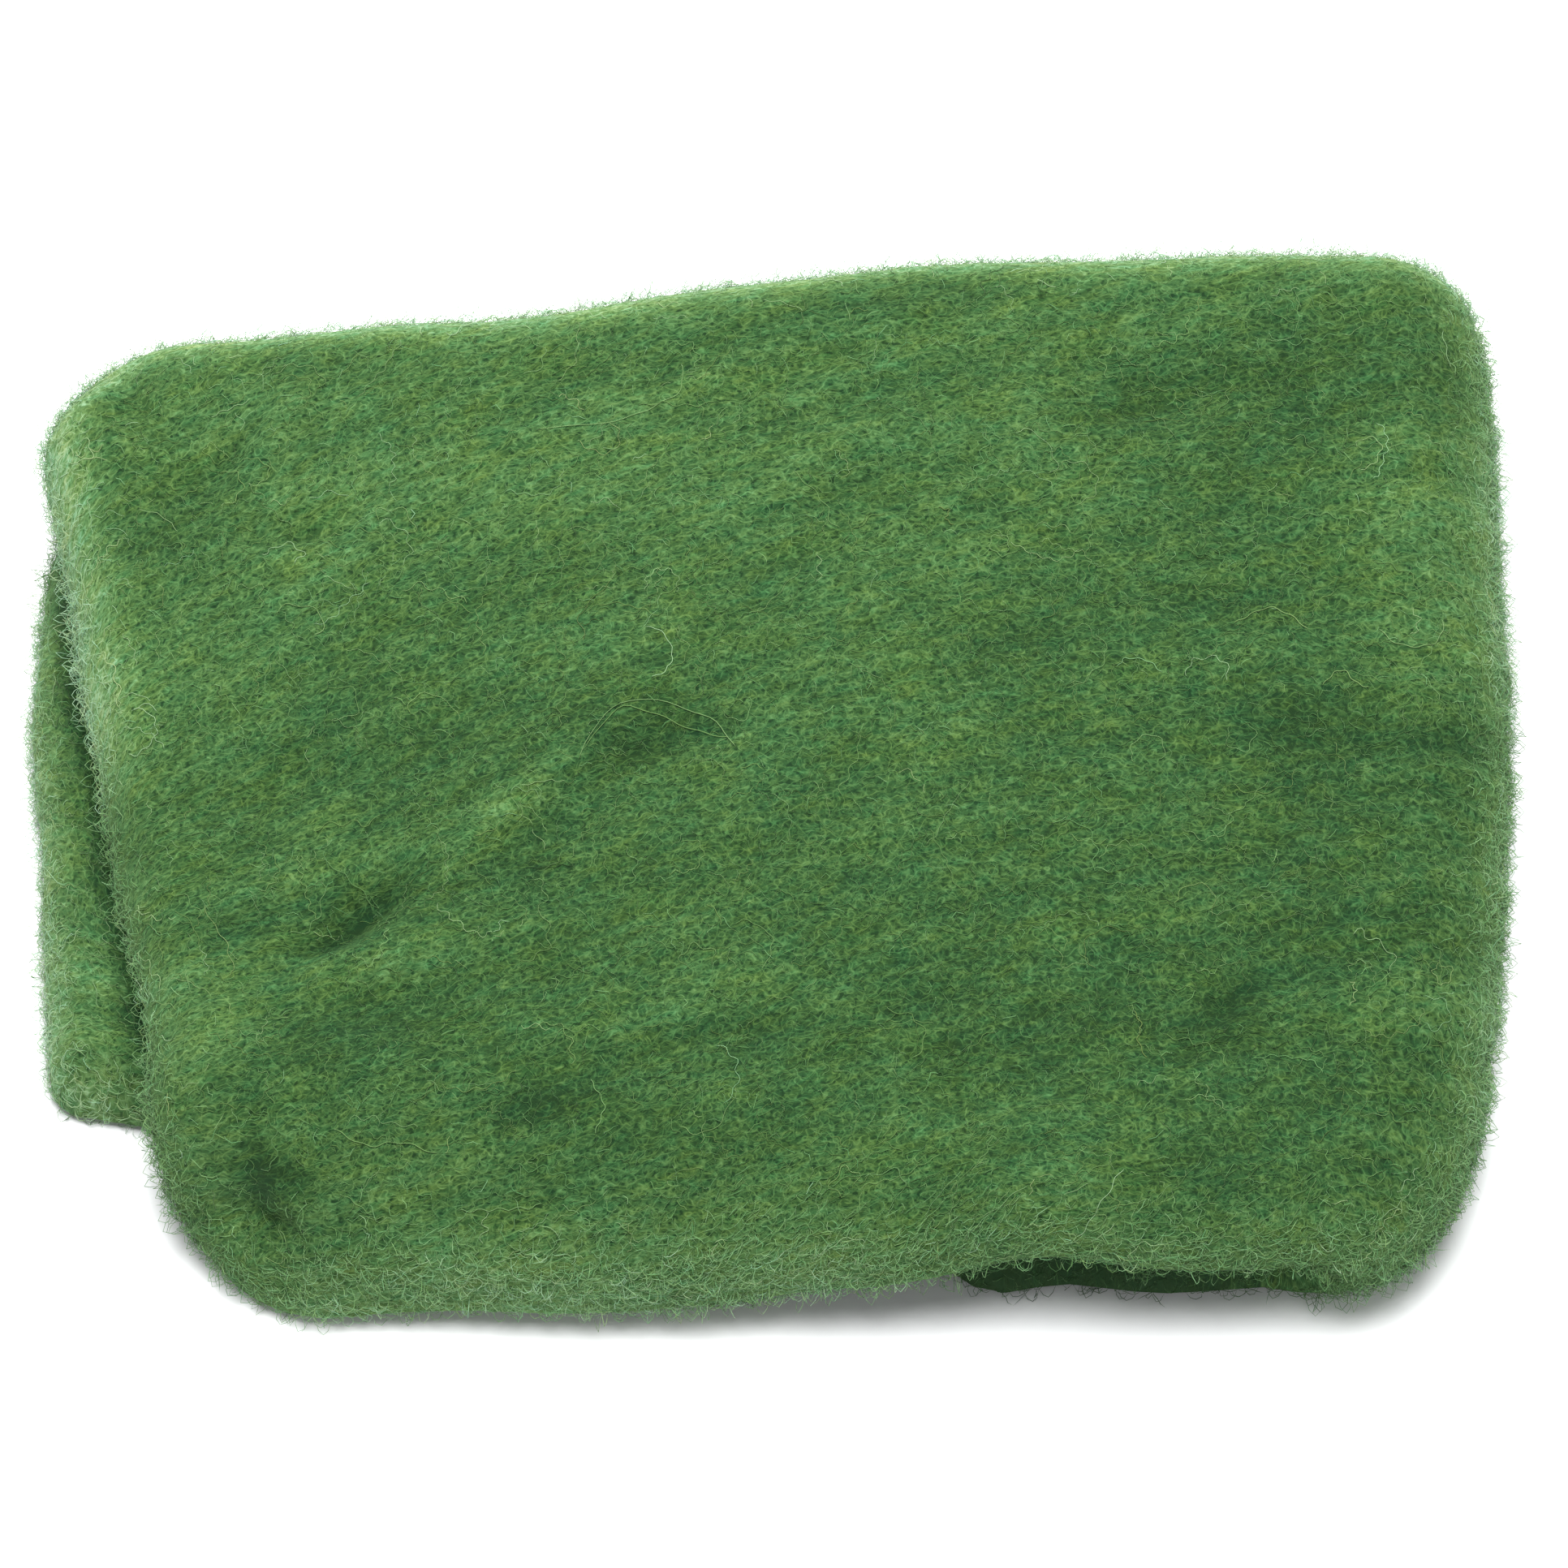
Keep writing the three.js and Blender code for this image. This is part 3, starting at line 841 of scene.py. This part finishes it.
def inner_fuzz_cover():
    """Fuzz on the inner face: on the strip and the rims that show, less in the gap."""
    open_rim = (from_edge < FUZZY_RIM) & (np.abs(row_numbers - FOLD_ROW) > FOLD_ROWS_BARE)
    return fuzz_cover(under_side) * (open_rim | strip) * (1 - FUZZ_COVER["gap_loss"] * in_the_gap)


def scatter(name, copies, count, face, kind, cover, tone, material):
    """Pieces of fibres over a face: how many fibres each has, how they are spread, and their middle tone."""
    made = []
    for number in range(1, copies + 1):
        paths, shade = fibre_paths(face, count, kind, cover)
        tones = np.clip(RNG.normal(tone, TONE_SPREAD, count) + TONE_BY_SHADE * shade, 0, 1)
        widths = RNG.uniform(*kind["widths"], count)
        hues = RNG.beta(*HUE_SPREAD, count)
        piece = build_fibres(f"{name}_{number}" if copies > 1 else name, paths, widths, tones, hues)
        piece.data.materials.append(material)
        made.append(piece)
    return made


# The laid hairs: steps along each, rounds of smoothing, the crimp's height and its turn for each step in
# radians, how far a hair lies over the face, and its width.
LAID_STEPS = 24
LAID_ROUNDS = 6
LAID_CRIMP = 0.2
LAID_CRIMP_TURN = 1.1
LAID_LIFT = 0.4
LAID_WIDTH = 0.17

# A laid hair's height is that of the face's points near it, weighed by a bell of this squared reach.
LAID_REACH_SQUARED = 3


def laid_path(points, top):
    """A crimped hair's path over the upper face through a few points."""
    points = np.array(points, float)
    share = np.linspace(0, len(points) - 1, LAID_STEPS + 1)
    path = np.stack([np.interp(share, np.arange(len(points)), points[:, axis]) for axis in (0, 1)], -1)
    for _ in range(LAID_ROUNDS):
        path[1:-1] = (path[:-2] + 2 * path[1:-1] + path[2:]) / 4
    across = unit(np.gradient(path, axis=0))[:, ::-1] * (-1, 1)
    path += LAID_CRIMP * across * np.sin(LAID_CRIMP_TURN * np.arange(LAID_STEPS + 1))[:, None]
    near = np.exp(-((path[:, None] - top[None, :, :2]) ** 2).sum(-1) / LAID_REACH_SQUARED)
    height = (near * top[:, 2]).sum(-1) / near.sum(-1)
    return np.column_stack([path, height + LAID_LIFT])


def build_laid_hairs(material):
    """The single long hairs of the table, as one piece."""
    top = outer[FOLD_ROW:].reshape(-1, 3)
    paths = np.array([laid_path(points, top) for _, _, points in LAID_HAIRS])
    tones, hues = np.array([row[:2] for row in LAID_HAIRS]).T
    piece = build_fibres("laid_hairs", paths, np.full(len(paths), LAID_WIDTH), tones, hues)
    piece.data.materials.append(material)
    return piece


# Colours as they look on a screen, 0 to 255: the wool from its darkest pits to its palest fibres, with the
# palest end serving mostly the painted light at the rims, and the loose fuzz, painted paler for the light
# that shines through it.
WOOL = [(26, 50, 26), (45, 75, 39), (71, 103, 57), (98, 132, 81), (142, 171, 131)]
FUZZ_GREENS = [(56, 94, 52), (92, 134, 84), (120, 160, 114), (160, 191, 165)]
WOOL_SHEEN = (165, 220, 140)
FIBRE_SHEEN = (200, 230, 180)

# The floor's colour, as the shader has it.
FLOOR_WHITE = (0.955, 0.965, 0.975, 1)

# Tints that multiply the colours, as (place, colour): in small spots, in broad drifts, and fibre by fibre.
SPOT_TINTS = [(0.3, (150, 235, 240)), (0.5, (240, 240, 235)), (0.7, (255, 230, 170))]
DRIFT_TINTS = [(0.3, (213, 238, 252)), (0.5, (239, 240, 240)), (0.7, (253, 240, 208))]
FIBRE_TINTS = [
    (0.0, (175, 235, 215)),
    (0.35, (240, 245, 235)),
    (0.7, (255, 245, 205)),
    (1.0, (255, 210, 150)),
]

# The layers of strands in the slab's face: turn off the lie of the fibres in degrees, spacing and thickness
# in millimetres, how light they are, and a seed.
STRANDS = [
    (2, 2.2, 0.66, 0.86, 11),
    (-20, 2.9, 0.62, 0.80, 27),
    (24, 2.6, 0.62, 0.76, 43),
    (58, 3.2, 0.56, 0.78, 61),
    (-52, 3.4, 0.56, 0.70, 83),
    (10, 1.3, 0.50, 0.52, 97),
    (-30, 1.5, 0.50, 0.46, 31),
    (38, 1.6, 0.50, 0.44, 53),
]

# How far a strand wanders and is crimped off its line in millimetres, and where it shows, by its noise.
STRAND_WANDER = 9.0
STRAND_CRIMP = 3.0
STRAND_SHOWS = (0.36, 0.5)

# The noises of the wool: how they are drawn out, turned and moved, and their scale, detail and roughness.
STAY = (0, 0, 0)
NOISES = {
    "wander": ((0.1, 0.22, 1), 0, STAY, 1.0, 2, 0.5),
    "crimp": ((0.36, 0.36, 1), 0, STAY, 1.0, 0, 0.5),
    "showing": ((0.16, 0.6, 1), 0, STAY, 1.0, 1, 0.5),
    "pits": ((0.7, 1, 1), 0, STAY, 0.8, 3, 0.75),
    "hollows": ((0.8, 1, 1), 20, STAY, 1.15, 1, 0.5),
    "clumps": ((0.4, 1, 1), 0, STAY, 0.22, 3, 0.6),
    "spots": ((0.35, 1, 1), 0, STAY, 0.5, 4, 0.75),
    "drifts": ((0.45, 1, 1), 0, (40, 10, 0), 0.13, 2, 0.6),
}
HOLLOW_RANGE = (0.45, 0.28)

# What makes up the tone of the wool, from 0 in the darkest pits to 1 on the palest fibres.
TONE = {"plain": 0.228, "net": 0.43, "hollows": -0.3, "pits": 0.55, "clumps": 0.2, "shade": 0.3}
BUMP = {"pits": 0.8, "net": 0.6, "strength": 0.55, "depth": 0.22 * MM}
TINT_SHARES = {"spots": 0.42, "drifts": 0.5, "fibres": 0.6}


def srgb(red, green, blue):
    """A colour written as it looks on a screen, 0 to 255, as the shaders want it."""
    shares = [c / 255 for c in (red, green, blue)]
    return tuple(((c + 0.055) / 1.055) ** 2.4 if c > 0.04 else c / 12.92 for c in shares)


class Nodes:
    """A small help for making a material's nodes: every call makes one node and links what it is given."""

    def __init__(self, name):
        self.material = bpy.data.materials.new(name)
        self.material.use_nodes = True
        self.tree = self.material.node_tree
        self.shader = self.tree.nodes["Principled BSDF"]

    def set(self, socket, value):
        if isinstance(value, bpy.types.NodeSocket):
            self.tree.links.new(value, socket)
        else:
            socket.default_value = value

    def finish(self, **values):
        """Sets the shader's sockets, with _ for a space in their names, and gives the material."""
        for key, value in values.items():
            self.set(self.shader.inputs[key.replace("_", " ")], value)
        return self.material

    def make(self, kind, inputs, output=0, **settings):
        node = self.tree.nodes.new(kind)
        for key, value in settings.items():
            setattr(node, key, value)
        for key, value in inputs.items():
            self.set(node.inputs[key], value)
        return node.outputs[output]

    def math(self, operation, *values):
        return self.make("ShaderNodeMath", dict(enumerate(values)), operation=operation)

    def value(self, name):
        return self.make("ShaderNodeAttribute", {}, "Fac", attribute_name=name)

    def mapped(self, vector, scale=(1, 1, 1), turn=0, move=(0, 0, 0)):
        inputs = {"Vector": vector, "Scale": scale, "Rotation": (0, 0, math.radians(turn)), "Location": move}
        return self.make("ShaderNodeMapping", inputs)

    def noise(self, vector, scale, detail, roughness):
        inputs = {"Vector": vector, "Scale": scale, "Detail": detail, "Roughness": roughness}
        return self.make("ShaderNodeTexNoise", inputs, "Fac", noise_dimensions="2D")

    def range(self, value, low, high, to_low=0.0, to_high=1.0):
        inputs = {"Value": value, "From Min": low, "From Max": high, "To Min": to_low, "To Max": to_high}
        return self.make("ShaderNodeMapRange", inputs)

    def ramp(self, value, stops):
        node = self.tree.nodes.new("ShaderNodeValToRGB")
        elements = node.color_ramp.elements
        while len(elements) < len(stops):
            elements.new(0.5)
        for element, (place, colour) in zip(elements, stops):
            element.position = place
            element.color = (*srgb(*colour), 1)
        self.set(node.inputs["Fac"], value)
        return node.outputs["Color"]

    def multiply(self, factor, first, second):
        node = self.tree.nodes.new("ShaderNodeMix")
        node.data_type = "RGBA"
        node.blend_type = "MULTIPLY"
        for place, value in ((0, factor), (6, first), (7, second)):
            self.set(node.inputs[place], value)
        return node.outputs[2]


def wool_noise(n, vector, name):
    """One of the table's noises."""
    stretch, turn, move, scale, detail, roughness = NOISES[name]
    return n.noise(n.mapped(vector, stretch, turn, move), scale, detail, roughness)


def strand_net(n, flow):
    """Nets of crimped strands, each as light as its layer and seen only here and there."""
    net = 0.0
    for turn, apart, thickness, light, seed in STRANDS:
        place = n.mapped(flow, (1, 1, 1), turn, (seed, seed * 1.7, 0))
        across = n.make("ShaderNodeSeparateXYZ", {"Vector": place}, 1)
        across = n.math("MULTIPLY_ADD", wool_noise(n, place, "wander"), STRAND_WANDER, across)
        across = n.math("MULTIPLY_ADD", wool_noise(n, place, "crimp"), STRAND_CRIMP, across)
        off = n.math("PINGPONG", across, apart / 2)
        strand_light = n.range(off, thickness / 2, 0.0, 0.0, light)
        showing = n.range(wool_noise(n, place, "showing"), *STRAND_SHOWS)
        net = n.math("MAXIMUM", net, n.math("MULTIPLY", strand_light, showing))
    return net


def slab_material():
    """Matted wool: nets of crimped strands over dark pits, in uneven clumps and drifts."""
    n = Nodes("matted_wool")
    flow = n.make("ShaderNodeUVMap", {}, "UV", uv_map="Flow")
    flow = n.mapped(flow, (FLOW_UNIT, FLOW_UNIT, 1))
    net = strand_net(n, flow)
    pits = wool_noise(n, flow, "pits")
    hollows = n.range(wool_noise(n, flow, "hollows"), *HOLLOW_RANGE)
    clumps = wool_noise(n, flow, "clumps")
    between = n.math("MULTIPLY", hollows, n.math("SUBTRACT", 1.0, net))
    tone = n.math("MULTIPLY_ADD", net, TONE["net"], TONE["plain"])
    tone = n.math("MULTIPLY_ADD", between, TONE["hollows"], tone)
    tone = n.math("MULTIPLY_ADD", n.math("SUBTRACT", pits, 0.5), TONE["pits"], tone)
    tone = n.math("MULTIPLY_ADD", n.math("SUBTRACT", clumps, 0.5), TONE["clumps"], tone)
    # The face's painted light and shade, from its shade value.
    tone = n.math("MULTIPLY_ADD", n.value("shade"), TONE["shade"], tone)
    colour = n.ramp(tone, list(zip((0.0, 0.25, 0.5, 0.75, 1.0), WOOL)))
    colour = n.multiply(TINT_SHARES["spots"], colour, n.ramp(wool_noise(n, flow, "spots"), SPOT_TINTS))
    colour = n.multiply(TINT_SHARES["drifts"], colour, n.ramp(wool_noise(n, flow, "drifts"), DRIFT_TINTS))
    height = n.math("MULTIPLY_ADD", pits, BUMP["pits"], n.math("MULTIPLY", net, BUMP["net"]))
    bump = {"Height": height, "Strength": BUMP["strength"], "Distance": BUMP["depth"]}
    return n.finish(
        Base_Color=colour,
        Normal=n.make("ShaderNodeBump", bump),
        Roughness=0.9,
        Specular_IOR_Level=0.1,
        Sheen_Weight=0.12,
        Sheen_Roughness=0.5,
        Sheen_Tint=(*srgb(*WOOL_SHEEN), 1),
    )


def fibre_material(name, places, colours):
    """Single wool fibres, from deep to pale, some bluish, yellowish or tan."""
    n = Nodes(name)
    colour = n.ramp(n.value("tone"), list(zip(places, colours)))
    return n.finish(
        Base_Color=n.multiply(TINT_SHARES["fibres"], colour, n.ramp(n.value("hue"), FIBRE_TINTS)),
        Roughness=0.75,
        Specular_IOR_Level=0.15,
        Sheen_Weight=0.3,
        Sheen_Roughness=0.5,
        Sheen_Tint=(*srgb(*FIBRE_SHEEN), 1),
    )


# The studio, in metres: half the floor's side, each light's name, place, width and power, and the room's
# own light.
FLOOR_HALF = 3.0
LIGHTS = [
    ("key", (0.0, -0.08, 1.2), 0.6, 25.5),
    ("back", (-0.3, 1.3, 0.55), 0.8, 12),
]
ROOM_LIGHT = 0.4

# The camera: what it looks at in millimetres, how far off it stands in metres, and its lens and sensor.
TARGET = (3.9, -2.6, 18)
CAMERA_DISTANCE = 1.112
LENS = 135
SENSOR_WIDTH = 36


def make_floor():
    """A plain white table."""
    mesh = bpy.data.meshes.new("floor")
    corners = [(x * FLOOR_HALF, y * FLOOR_HALF, 0) for x, y in ((-1, -1), (1, -1), (1, 1), (-1, 1))]
    mesh.from_pydata(corners, [], [(0, 1, 2, 3)])
    floor = bpy.data.objects.new("floor", mesh)
    bpy.context.scene.collection.objects.link(floor)
    material = Nodes("floor_white").finish(Base_Color=FLOOR_WHITE, Roughness=0.9, Specular_IOR_Level=0.1)
    mesh.materials.append(material)


def area_light(name, place, size, power):
    """A round soft light that faces the batt."""
    light = bpy.data.lights.new(name, "AREA")
    light.shape = "DISK"
    light.size = size
    light.energy = power
    lamp = bpy.data.objects.new(name, light)
    lamp.location = place
    lamp.rotation_mode = "QUATERNION"
    lamp.rotation_quaternion = (-Vector(place)).to_track_quat("-Z", "Y")
    bpy.context.scene.collection.objects.link(lamp)


def make_lights():
    """A light over the batt, a weaker one low behind it, and a white room."""
    world = bpy.data.worlds.new("studio")
    world.use_nodes = True
    background = world.node_tree.nodes["Background"]
    background.inputs["Color"].default_value = (1, 1, 1, 1)
    background.inputs["Strength"].default_value = ROOM_LIGHT
    bpy.context.scene.world = world
    for row in LIGHTS:
        area_light(*row)


def make_camera():
    """The photograph's view: from the front, high above the batt, through a long lens."""
    data = bpy.data.cameras.new("camera")
    data.lens = LENS
    data.sensor_width = SENSOR_WIDTH
    camera = bpy.data.objects.new("camera", data)
    camera.location = Vector(TARGET) * MM + Vector(VIEW) * CAMERA_DISTANCE
    camera.rotation_mode = "QUATERNION"
    camera.rotation_quaternion = (-Vector(VIEW)).to_track_quat("-Z", "Y")
    bpy.context.scene.collection.objects.link(camera)
    bpy.context.scene.camera = camera


slab = build_slab()
slab.data.materials.append(slab_material())
strand = fibre_material("wool_fibre", (0.0, 0.2, 0.45, 0.75, 1.0), WOOL)
loose = fibre_material("loose_fibre", (0.0, 0.4, 0.7, 1.0), FUZZ_GREENS)

# The fibres: a name, how many pieces, how many fibres in each, on which face and of which kind, how they are
# spread, how light they are, and their material.
matted_spread, fuzz_spread = matted_cover(upper_side), fuzz_cover(upper_side)
pieces = [slab]
pieces += scatter("matted_fibres", 3, 1300, upper_side, MATTED, matted_spread, 0.55, strand)
pieces += scatter("strip_fibres", 1, 500, under_side, MATTED, strip * 1.0, 0.6, strand)
pieces += scatter("stray_hairs", 1, 260, upper_side, HAIR, matted_spread, 0.68, strand)
pieces += scatter("rim_fuzz", 3, 8200, upper_side, FUZZ, fuzz_spread, 0.3, loose)
pieces += scatter("inner_rim_fuzz", 1, 6200, under_side, FUZZ, inner_fuzz_cover(), 0.4, loose)
pieces.append(build_laid_hairs(strand))

make_floor()
make_lights()
make_camera()
bpy.context.scene.view_settings.view_transform = "Standard"

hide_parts("batt")
for piece in pieces:
    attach(piece, "root")
